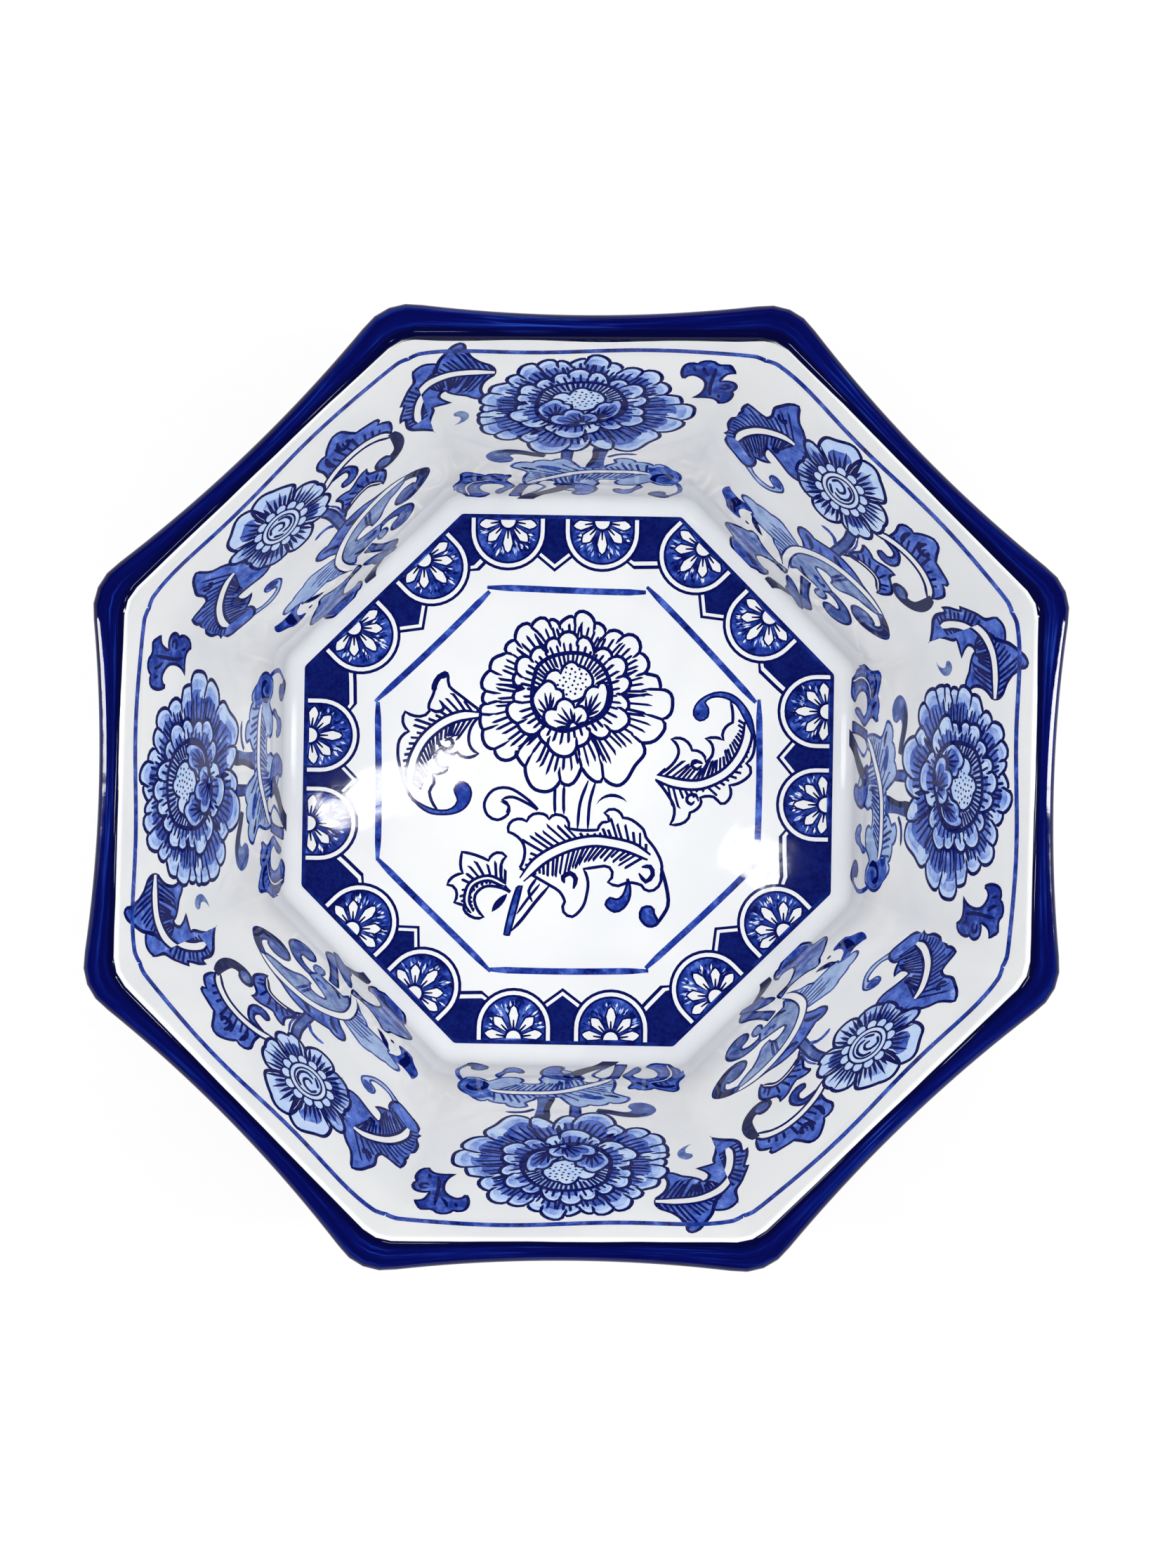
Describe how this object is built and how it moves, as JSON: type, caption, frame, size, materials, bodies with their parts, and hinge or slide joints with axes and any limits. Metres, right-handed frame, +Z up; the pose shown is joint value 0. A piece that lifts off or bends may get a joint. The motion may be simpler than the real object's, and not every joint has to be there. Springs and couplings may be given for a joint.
{
  "type": "serving bowl",
  "caption": "Octagonal blue-and-white porcelain serving bowl with flared panelled walls, a rolled cobalt lip with drawn-in sides and an octagonal foot ring.",
  "frame": {"origin": "Middle of the resting plane, under the centre of the foot ring.", "axes": "+Z is up through the middle of the bowl. The front panel faces -Y and the right panel +X."},
  "size_m": [0.3056, 0.3028, 0.14],
  "materials": {
    "painted_porcelain": "clear gloss glaze over white porcelain with cobalt painting",
    "cobalt_glaze": "deep cobalt under clear gloss glaze",
    "foot_porcelain": "glazed sides, bare fired edge where it stands"
  },
  "bodies": {
    "root": {"floor_slab": "painted_porcelain", "wall_panel_front": "painted_porcelain", "wall_panel_front_right": "painted_porcelain", "wall_panel_right": "painted_porcelain", "wall_panel_back_right": "painted_porcelain", "wall_panel_back": "painted_porcelain", "wall_panel_back_left": "painted_porcelain", "wall_panel_left": "painted_porcelain", "wall_panel_front_left": "painted_porcelain", "lip": "cobalt_glaze", "foot_ring": "foot_porcelain"}
  },
  "joints": []
}
